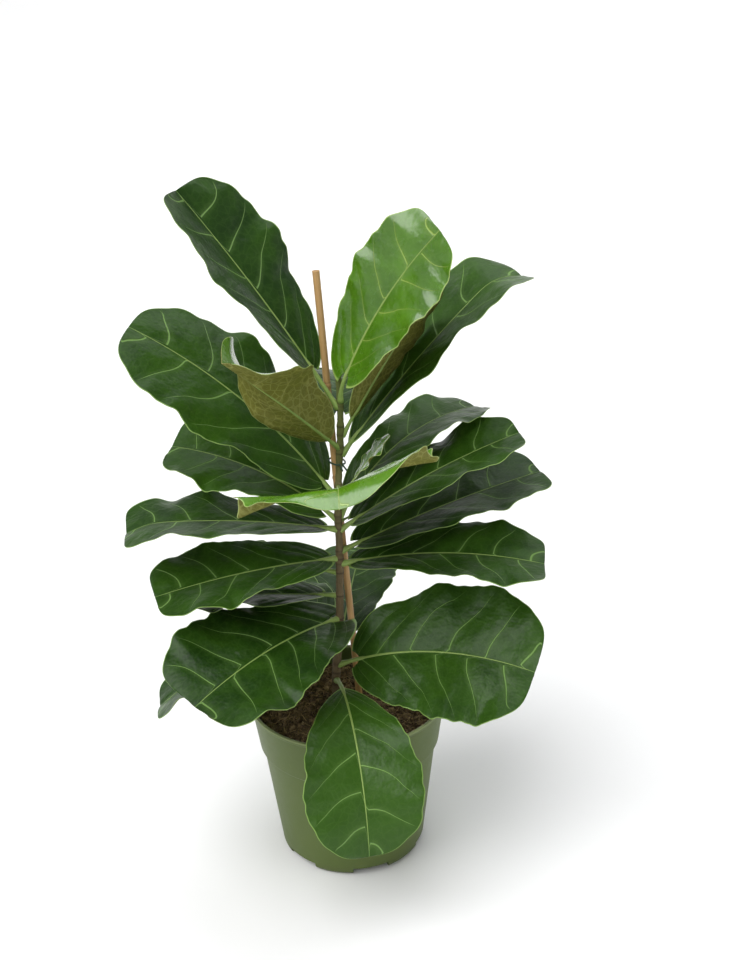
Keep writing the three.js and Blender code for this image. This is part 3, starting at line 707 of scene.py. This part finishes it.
random = np.random.default_rng(RANDOM_SEED)
for leaf_name, leaf_shape in LEAVES.items():
    build_leaf(leaf_name, leaf_shape, random)


# ---------------------------------------------------------------- pot

def rounded(profile, radius, steps=5):
    """The same outline with each inner corner turned into an arc-like curve."""
    corners = [np.array(p, float) for p in profile]
    smooth = [corners[0]]
    for before, corner, after in zip(corners, corners[1:], corners[2:]):
        reach_in = min(radius, np.linalg.norm(before - corner) * 0.45)
        reach_out = min(radius, np.linalg.norm(after - corner) * 0.45)
        start = corner + unit(before - corner) * reach_in
        end = corner + unit(after - corner) * reach_out
        for t in np.linspace(0, 1, steps):
            smooth.append((1 - t) ** 2 * start + 2 * t * (1 - t) * corner + t * t * end)
    smooth.append(corners[-1])
    return smooth


def lathe(name, profile, segments, materials):
    """A closed body turned about Z from an outline that starts and ends on the axis."""
    inner = np.array(profile[1:-1])
    turn = np.arange(segments) * 2 * math.pi / segments
    rings = np.stack([inner[:, :1] * np.cos(turn), inner[:, :1] * np.sin(turn),
                      np.repeat(inner[:, 1:], segments, axis=1)], -1).reshape(-1, 3)
    points = np.vstack([rings, [[0, 0, profile[0][1]], [0, 0, profile[-1][1]]]])
    faces = grid_faces(len(inner), segments, close_columns=True)
    first, last = len(rings), len(rings) + 1
    top = (len(inner) - 1) * segments
    for j in range(segments):
        k = (j + 1) % segments
        faces.append((first, k, j))
        faces.append((last, top + j, top + k))
    return mesh_object(name, points, faces, materials)


def pot_outline(inset):
    base = POT_BASE_RADIUS - inset
    fillet = POT_BASE_FILLET - min(inset, POT_BASE_FILLET - 1)
    outline = [(0, inset)]
    for angle in np.radians(np.linspace(0, 90, 9)):
        outline.append((base - fillet + fillet * math.sin(angle),
                        inset + fillet * (1 - math.cos(angle))))
    return outline


def box_at(size, centre, azimuth):
    points = [(x, y, z) for x in (-0.5, 0.5) for y in (-0.5, 0.5) for z in (-0.5, 0.5)]
    points = np.array(points) * np.array(size) + np.array(centre)
    c, s = math.cos(azimuth), math.sin(azimuth)
    points = points @ np.array([[c, s, 0], [-s, c, 0], [0, 0, 1]])
    faces = [(0, 1, 3, 2), (4, 6, 7, 5), (0, 4, 5, 1), (2, 3, 7, 6), (0, 2, 6, 4), (1, 5, 7, 3)]
    return mesh_object("cutter", points, faces, [])


def combine(piece, tool, operation):
    """Applies a boolean to the piece and removes the tool."""
    modifier = piece.modifiers.new("combine", "BOOLEAN")
    modifier.object = tool
    modifier.operation = operation
    modifier.solver = "EXACT"
    bpy.context.view_layer.update()
    evaluated = piece.evaluated_get(bpy.context.evaluated_depsgraph_get())
    result = bpy.data.meshes.new_from_object(evaluated)
    piece.modifiers.clear()
    piece.data = result
    bpy.data.objects.remove(tool)


def build_pot():
    plastic = pot_surface()
    wall = [(POT_BODY_TOP_RADIUS, POT_COLLAR_FOOT_HEIGHT - 3),
            (POT_COLLAR_FOOT_RADIUS, POT_COLLAR_FOOT_HEIGHT)]
    outer_wall = [(POT_BASE_RADIUS, POT_BASE_FILLET)] + wall + [
        (POT_COLLAR_TOP_RADIUS, POT_HEIGHT - 5), (POT_RIM_RADIUS, POT_HEIGHT - 3.5),
        (POT_RIM_RADIUS, POT_HEIGHT), (POT_COLLAR_TOP_RADIUS - 1.2, POT_HEIGHT)]
    inner_wall = [(POT_COLLAR_TOP_RADIUS - POT_WALL, POT_HEIGHT - 2)]
    inner_wall += [(r - POT_WALL, z + POT_WALL) for r, z in reversed(wall)]
    inner_wall += [pot_outline(POT_WALL)[-1]]
    side = rounded(outer_wall + inner_wall, POT_ROUNDING)
    profile = pot_outline(0)[:-1] + side + pot_outline(POT_WALL)[-2::-1]
    pot = lathe("nursery_pot", profile, POT_SEGMENTS, [plastic])
    step = 2 * math.pi / NOTCH_COUNT
    depth = NOTCH_CUT_DEPTH
    inside = [(r - POT_WALL / 2, max(z, POT_WALL / 2)) for r, z in pot_outline(0)[1:]]
    inside = [(0, POT_WALL / 2)] + inside + [(POT_BASE_RADIUS, HOOD_LIMIT), (0, HOOD_LIMIT)]
    for i in range(NOTCH_COUNT):
        azimuth = math.radians(NOTCH_FIRST_AZIMUTH) + i * step
        hood = box_at((depth, NOTCH_WIDTH + 2 * POT_WALL, NOTCH_HEIGHT + POT_WALL),
                      (NOTCH_INNER_RADIUS - POT_WALL + depth / 2, 0,
                       (NOTCH_HEIGHT + POT_WALL) / 2), azimuth)
        combine(hood, lathe("inside_of_pot", inside, HOOD_SEGMENTS, []), "INTERSECT")
        combine(pot, hood, "UNION")
    for i in range(NOTCH_COUNT):
        azimuth = math.radians(NOTCH_FIRST_AZIMUTH) + i * step
        notch = box_at((depth, NOTCH_WIDTH, 2 * NOTCH_HEIGHT),
                       (NOTCH_INNER_RADIUS + depth / 2, 0, 0), azimuth)
        combine(pot, notch, "DIFFERENCE")
        hole = box_at((DRAIN_HOLE_DEPTH, 2 * DRAIN_HOLE_RADIUS, 2 * DRAIN_HOLE_RADIUS),
                      (NOTCH_INNER_RADIUS + DRAIN_HOLE_SETBACK,
                       DRAIN_HOLE_INSET - NOTCH_WIDTH / 2, NOTCH_HEIGHT), azimuth)
        combine(pot, hole, "DIFFERENCE")
    pot.data.polygons.foreach_set("use_smooth", [True] * len(pot.data.polygons))
    pot.data.set_sharp_from_angle(angle=math.radians(35))
    stands_for(pot, "pot")


build_pot()


# ---------------------------------------------------------------- soil

SOIL_BED_RADIUS = 98.4
SOIL_BED_RINGS = 70
SOIL_BED_SEGMENTS = 150
SOIL_BED_ROUGHNESS = 0.55
SOIL_FOOT = ((96.5, 140.0), (88.5, 118.0), (80.0, 62.0))    # (radius, height) down the side
SOIL_SETTLE = 1.2                 # how far the loose bed lies below the CAD's level
BIT_COUNT = 2600
BIT_SPREAD = 96.5
BIT_LIMIT = 97.5
BIT_LARGEST = 4.2
BIT_STRETCH = ((0.8, 1.7), (0.6, 1.0), (0.35, 0.8))
FIBRE_COUNT = 420
FIBRE_SPREAD = 88
FIBRE_LIMIT = 96
FIBRE_SIDES = 5

SOIL = soil_surface()


def soil_height(x, y):
    radius = np.hypot(x, y)
    base = lerp(SOIL_CENTRE_HEIGHT, SOIL_EDGE_HEIGHT, smoothstep(0, 99, radius))
    lumps = (np.sin(x * 0.19 + 1.3) * np.cos(y * 0.23 + 0.4) * 1.1
             + np.sin(x * 0.47 + y * 0.36) * 0.7 + np.sin(x * 0.9 - y * 1.05 + 2.0) * 0.4)
    return base + lumps - SOIL_SETTLE


def build_soil(random):
    segments = SOIL_BED_SEGMENTS
    radii = np.linspace(0, SOIL_BED_RADIUS, SOIL_BED_RINGS)[1:]
    turn = np.arange(segments) * 2 * math.pi / segments
    x = radii[:, None] * np.cos(turn)
    y = radii[:, None] * np.sin(turn)
    z = soil_height(x, y) + random.normal(0, SOIL_BED_ROUGHNESS, x.shape)
    rings = [np.stack([x, y, z], -1).reshape(-1, 3)]
    rings += [circle(radius, height, segments) for radius, height in SOIL_FOOT]
    rings.append(np.array([[0, 0, SOIL_CENTRE_HEIGHT - SOIL_SETTLE], [0, 0, SOIL_FOOT[-1][1]]]))
    points = np.vstack(rings)
    ring_count = len(radii) + len(SOIL_FOOT)
    faces = grid_faces(ring_count, segments, close_columns=True, flip=True)
    centre, bottom = ring_count * segments, ring_count * segments + 1
    last = (ring_count - 1) * segments
    for j in range(segments):
        k = (j + 1) % segments
        faces.append((centre, j, k))
        faces.append((bottom, last + k, last + j))
    shade = random.beta(1.2, 9, len(points))
    bed = mesh_object("soil_bed", points, faces, [SOIL], attributes={"shade": shade})
    stands_for(bed, "soil")


def chunk_shape(random):
    """A small lump: the points of a rough ball, pushed about."""
    golden = (1 + 5 ** 0.5) / 2
    points = [(-1, golden, 0), (1, golden, 0), (-1, -golden, 0), (1, -golden, 0),
              (0, -1, golden), (0, 1, golden), (0, -1, -golden), (0, 1, -golden),
              (golden, 0, -1), (golden, 0, 1), (-golden, 0, -1), (-golden, 0, 1)]
    faces = [(0, 11, 5), (0, 5, 1), (0, 1, 7), (0, 7, 10), (0, 10, 11),
             (1, 5, 9), (5, 11, 4), (11, 10, 2), (10, 7, 6), (7, 1, 8),
             (3, 9, 4), (3, 4, 2), (3, 2, 6), (3, 6, 8), (3, 8, 9),
             (4, 9, 5), (2, 4, 11), (6, 2, 10), (8, 6, 7), (9, 8, 1)]
    return unit(np.array(points, float)) * random.uniform(0.75, 1.15, (12, 1)), faces


def random_turn(random):
    return np.array(Euler(random.uniform(0, 2 * math.pi, 3).tolist()).to_matrix())


def clear_of_stems(x, y, room):
    stem = stem_centre(SOIL_CENTRE_HEIGHT)
    stake = stake_centre(SOIL_CENTRE_HEIGHT)
    return all(math.hypot(x - p[0], y - p[1]) > 5 + room for p in (stem, stake))


def build_soil_bits(random):
    points, faces, shade = [], [], []
    count = 0

    def add(new_points, new_faces, value):
        nonlocal count
        points.append(new_points)
        faces.extend(tuple(i + count for i in face) for face in new_faces)
        shade.append(np.full(len(new_points), value))
        count += len(new_points)

    while len(points) < BIT_COUNT:
        size = min(random.gamma(2.2, 0.75) + 0.5, BIT_LARGEST)
        radius = BIT_SPREAD * math.sqrt(random.uniform(0, 1))
        azimuth = random.uniform(0, 2 * math.pi)
        x, y = radius * math.cos(azimuth), radius * math.sin(azimuth)
        if radius + size > BIT_LIMIT or not clear_of_stems(x, y, size):
            continue
        shape, shape_faces = chunk_shape(random)
        stretch = np.array([random.uniform(low, high) for low, high in BIT_STRETCH])
        body = (shape * stretch * size) @ random_turn(random).T
        add(body + [x, y, soil_height(x, y) + size * 0.15], shape_faces, random.beta(0.9, 5))
    fibres = 0
    while fibres < FIBRE_COUNT:
        length = random.uniform(6, 20)
        radius = FIBRE_SPREAD * math.sqrt(random.uniform(0, 1))
        azimuth, heading = random.uniform(0, 2 * math.pi, 2)
        x, y = radius * math.cos(azimuth), radius * math.sin(azimuth)
        if radius + length / 2 > FIBRE_LIMIT or not clear_of_stems(x, y, length / 2):
            continue
        t = np.linspace(-0.5, 0.5, 7)
        bend = random.uniform(-0.5, 0.5) * length * (t ** 2)
        px = x + length * t * math.cos(heading) - bend * math.sin(heading)
        py = y + length * t * math.sin(heading) + bend * math.cos(heading)
        pz = soil_height(px, py) + random.uniform(0.4, 1.9) + random.uniform(-1.5, 1.5) * t
        thick = random.uniform(0.22, 0.55)
        tapering = thick * (1 - 1.1 * t ** 2)
        route = np.stack([px, py, pz], -1)
        body, body_faces = tube(route, tapering, FIBRE_SIDES, reference=(0, 0, 1))
        add(body, body_faces, random.uniform(0.25, 1.0))
        fibres += 1
    bits = mesh_object("soil_bits", np.vstack(points), faces, [SOIL],
                       attributes={"shade": np.concatenate(shade)}, smooth=False)
    stands_for(bits, "soil")


build_soil(random)
build_soil_bits(random)


# ---------------------------------------------------------------- stem, stake and tie

LOW_SCARS = np.arange(176, 235, 13)     # heights of scars below the leaves
STEM_SIDES = 24
STAKE_RINGS = 420
STAKE_SIDES = 28
TIE_SIDES = 12


def scars_at(heights, marks, reach):
    scar = np.zeros_like(heights)
    for mark in marks:
        scar = np.maximum(scar, 1 - smoothstep(0, reach, np.abs(heights - mark)))
    return scar


def build_stem(random):
    bark = bark_surface()
    centres = STEM_POINTS
    marks = [leaf["height"] for leaf in LEAVES.values()] + list(LOW_SCARS)
    scar = scars_at(centres[:, 2], marks, 1.6)
    swell = scars_at(centres[:, 2], marks, 7)
    knots = random.normal(0, 0.10, len(centres))
    radii = stem_radius(centres[:, 2]) + 0.55 * swell + 0.15 * scar + knots
    t = np.linspace(0, 1, 26)[1:]
    shape = (1 - t) ** 0.75 * (1 + 0.55 * np.sin(math.pi * np.clip(t * 1.6, 0, 1)))
    bud = centres[-1] + np.stack([-1.5 * t, np.zeros_like(t), BUD_LENGTH * t], -1)
    route = np.vstack([centres, bud])
    radii = np.concatenate([radii, np.maximum(STEM_TOP_RADIUS * shape, 0.12)])
    points, faces = tube(route, radii, STEM_SIDES)
    values = np.repeat(np.concatenate([scar, np.full(len(t), 0.35)]), STEM_SIDES)
    stem = mesh_object("fig_stem", points, faces, [bark], attributes={"scar": values})
    stands_for(stem, "stem")


def build_stake(random):
    bamboo = bamboo_surface()
    foot, top = np.array(STAKE_FOOT, float), np.array(STAKE_TOP, float)
    length = np.linalg.norm(top - foot)
    t = np.linspace(0, 1, STAKE_RINGS)
    joints = np.arange(STAKE_JOINT_SPACING * 0.7, length - 20, STAKE_JOINT_SPACING)
    along = t * length
    ridge = scars_at(along, joints, 3.0)
    groove = scars_at(along, joints + 2.4, 1.3)
    centres = lerp(foot[None], top[None], t[:, None])
    drift = 0.35 * np.sin(along / 70.0)
    centres = centres + np.stack([drift, -drift * 0.5, np.zeros_like(drift)], -1)
    radii = STAKE_RADIUS - 0.25 + 0.6 * ridge - 0.35 * groove + random.normal(0, 0.02, len(t))
    end = unit(top - foot)
    hollow = np.array([top, top - end * 0.4, top - end * 6.0])
    centres = np.vstack([centres, hollow])
    radii = np.concatenate([radii, [STAKE_RADIUS - 1.2, STAKE_RADIUS - 1.9, STAKE_RADIUS - 2.3]])
    across = unit(np.cross([0.0, 1.0, 0.0], end))
    up = np.cross(end, across)
    sides = STAKE_SIDES
    turn = np.arange(sides) * 2 * math.pi / sides
    ring = across[None] * np.cos(turn)[:, None] + up[None] * np.sin(turn)[:, None]
    points = (centres[:, None] + ring[None] * radii[:, None, None]).reshape(-1, 3)
    faces = grid_faces(len(centres), sides, close_columns=True)
    last = (len(centres) - 1) * sides
    faces.append(tuple(range(sides))[::-1])
    faces.append(tuple(last + i for i in range(sides)))
    values = np.repeat(np.concatenate([np.maximum(groove, ridge * 0.4), [0.1, 0.8, 1.0]]), sides)
    stake = mesh_object("bamboo_stake", points, faces, [bamboo], attributes={"scar": values})
    stands_for(stake, "stake")


def build_tie():
    stem, stake = stem_centre(TIE_HEIGHT), stake_centre(TIE_HEIGHT)
    centre = (stem + stake) / 2
    along = (stake - stem) * [1, 1, 0]
    reach = np.linalg.norm(along) / 2 + STAKE_RADIUS + TIE_WIRE_RADIUS + 1.2
    along = unit(along)
    across = np.array([-along[1], along[0], 0])
    angles = math.pi + np.radians(12 + 336 * np.arange(17) / 16)
    loop = centre + along * (reach * np.cos(angles))[:, None]
    loop = loop + across * ((STAKE_RADIUS + TIE_WIRE_RADIUS + 2.6) * np.sin(angles))[:, None]
    ends = [centre - along * (reach + 9) + across * 2.2 * sign + [0, 0, -3] for sign in (-1, 1)]
    route = catmull_rom(np.vstack([ends[0], loop, ends[1]]), 140)
    points, faces = tube(route, TIE_WIRE_RADIUS, TIE_SIDES, reference=(0, 0, 1))
    tie = mesh_object("wire_tie", points, faces, [tie_surface()])
    stands_for(tie, "tie")


build_stem(random)
build_stake(random)
build_tie()


# ---------------------------------------------------------------- studio

FLOOR_FLAT_RADIUS = 7000.0
FLOOR_BEND_RADIUS = 2500.0
FLOOR_WALL_TOP = 5200.0
FLOOR_SEGMENTS = 96

CAMERA_SENSOR = 36.0
CAMERA_LENS = 41.25
CAMERA_PLACE = (0.0366, -1.028, 0.792)
CAMERA_TILT = 69.93
CAMERA_ROLL = -1.67

WORLD_STRENGTH = 0.28


def build_floor():
    """A pale round sweep: a flat floor that curves up into a wall all around."""
    flat, bend = FLOOR_FLAT_RADIUS, FLOOR_BEND_RADIUS
    profile = [(r, 0.0) for r in np.linspace(0, flat, 8)[1:]]
    profile += [(flat + bend * math.sin(a), bend * (1 - math.cos(a)))
                for a in np.radians(np.arange(9, 91, 9))]
    profile.append((flat + bend, FLOOR_WALL_TOP))
    segments = FLOOR_SEGMENTS
    rings = [circle(radius, height, segments) for radius, height in profile]
    points = np.vstack(rings + [np.zeros((1, 3))])
    faces = grid_faces(len(profile), segments, close_columns=True)
    centre = len(points) - 1
    faces += [(centre, (j + 1) % segments, j) for j in range(segments)]
    floor = mesh_object("floor", points, faces, [floor_surface()])


def build_camera():
    camera = bpy.data.objects.new("camera", bpy.data.cameras.new("camera"))
    bpy.context.scene.collection.objects.link(camera)
    camera.data.sensor_width = CAMERA_SENSOR
    camera.data.lens = CAMERA_LENS
    camera.location = CAMERA_PLACE
    tilt = Euler((math.radians(CAMERA_TILT), 0, 0)).to_matrix()
    roll = Euler((0, 0, math.radians(CAMERA_ROLL))).to_matrix()
    camera.rotation_euler = (tilt @ roll).to_euler()
    bpy.context.scene.camera = camera


def sun_light(name, direction, strength, spread, colour=(1, 1, 1)):
    """A soft light from one side, as even at the floor's far end as at the plant."""
    lamp = bpy.data.lights.new(name, "SUN")
    lamp.energy = strength
    lamp.angle = math.radians(spread)
    lamp.color = colour
    light = bpy.data.objects.new(name, lamp)
    bpy.context.scene.collection.objects.link(light)
    light.rotation_euler = Vector(direction).to_track_quat("Z", "Y").to_euler()


def build_world():
    world = bpy.data.worlds.new("studio")
    world.use_nodes = True
    background = world.node_tree.nodes["Background"]
    background.inputs["Color"].default_value = (1, 1, 1, 1)
    background.inputs["Strength"].default_value = WORLD_STRENGTH
    bpy.context.scene.world = world


build_floor()
build_camera()
build_world()
sun_light("key", direction=(-0.8, -0.75, 1.6), strength=3.0, spread=60)
sun_light("top", direction=(0.3, 0.6, 1.5), strength=0.85, spread=50,
          colour=(0.94, 0.97, 1.0))
bpy.context.scene.view_settings.view_transform = "Standard"
